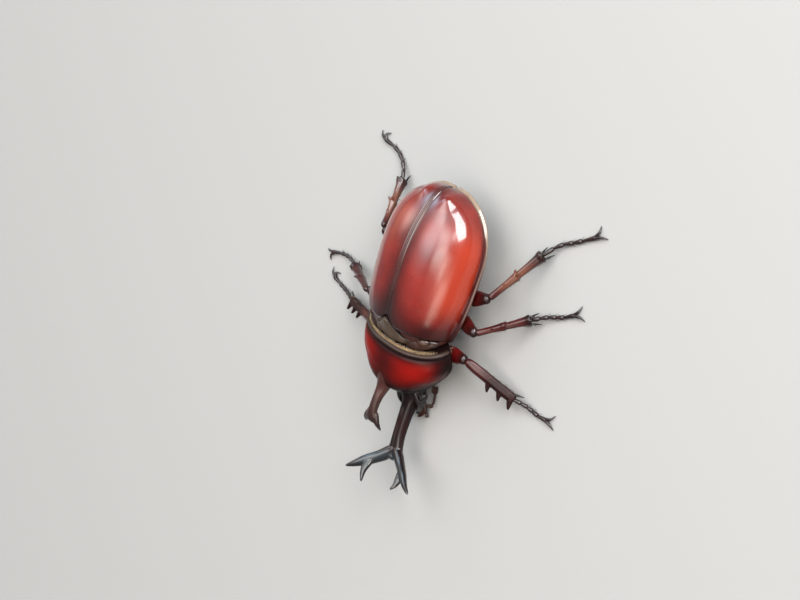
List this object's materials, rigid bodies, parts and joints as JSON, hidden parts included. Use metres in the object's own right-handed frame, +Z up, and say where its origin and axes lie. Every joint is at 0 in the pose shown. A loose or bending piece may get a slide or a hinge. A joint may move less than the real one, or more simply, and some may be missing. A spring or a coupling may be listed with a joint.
{
  "type": "male Japanese rhinoceros beetle",
  "caption": "Life-size still model of a male rhinoceros beetle standing on the floor: dark red wing cases, forked head horn bent down, a smaller forked horn above it, legs spread.",
  "frame": {"origin": "middle of the animal's box at floor level, under the hind edge of its prothorax", "axes": "+X towards the animal's left, -Y the way it faces, +Z up from the floor"},
  "size_m": [0.0752, 0.0716, 0.0187],
  "materials": {
    "wing_case": "glossy dark red to orange-red shell with a fine grain, near black at its edges",
    "prothorax_shell": "glossy deep red shell that darkens to black-brown at its edges",
    "horn": "glossy black-brown with a faint grain",
    "head_shell": "satin black-brown, finely pitted",
    "back_plate": "satin olive-brown with fine hair",
    "underside": "satin dark red-brown plates with tawny hair",
    "leg": "glossy dark red-brown, finely pitted",
    "foot": "glossy near black",
    "feeler": "satin red-brown",
    "mouth": "matt amber brush of short hair",
    "eye": "glossy black with tiny facets"
  },
  "bodies": {
    "root": {"abdomen": "underside", "antenna_left": "feeler", "antenna_right": "feeler", "elytron_left": "wing_case", "elytron_right": "wing_case", "eye_left": "eye", "eye_right": "eye", "front_coxa_left": "leg", "front_coxa_right": "leg", "front_femur_left": "leg", "front_femur_right": "leg", "front_tarsus_left": "foot", "front_tarsus_right": "foot", "front_tibia_left": "leg", "front_tibia_right": "leg", "head": "head_shell", "head_horn": "horn", "head_horn_branch_left": "horn", "head_horn_branch_right": "horn", "hind_coxa_left": "leg", "hind_coxa_right": "leg", "hind_femur_left": "leg", "hind_femur_right": "leg", "hind_tarsus_left": "foot", "hind_tarsus_right": "foot", "hind_tibia_left": "leg", "hind_tibia_right": "leg", "middle_coxa_left": "leg", "middle_coxa_right": "leg", "middle_femur_left": "leg", "middle_femur_right": "leg", "middle_tarsus_left": "foot", "middle_tarsus_right": "foot", "middle_tibia_left": "leg", "middle_tibia_right": "leg", "mouthparts": "mouth", "palp_left": "feeler", "palp_right": "feeler", "pronotum": "prothorax_shell", "pronotum_horn": "horn", "pygidium": "underside", "scutellum": "back_plate", "thorax": "underside"}
  },
  "joints": []
}
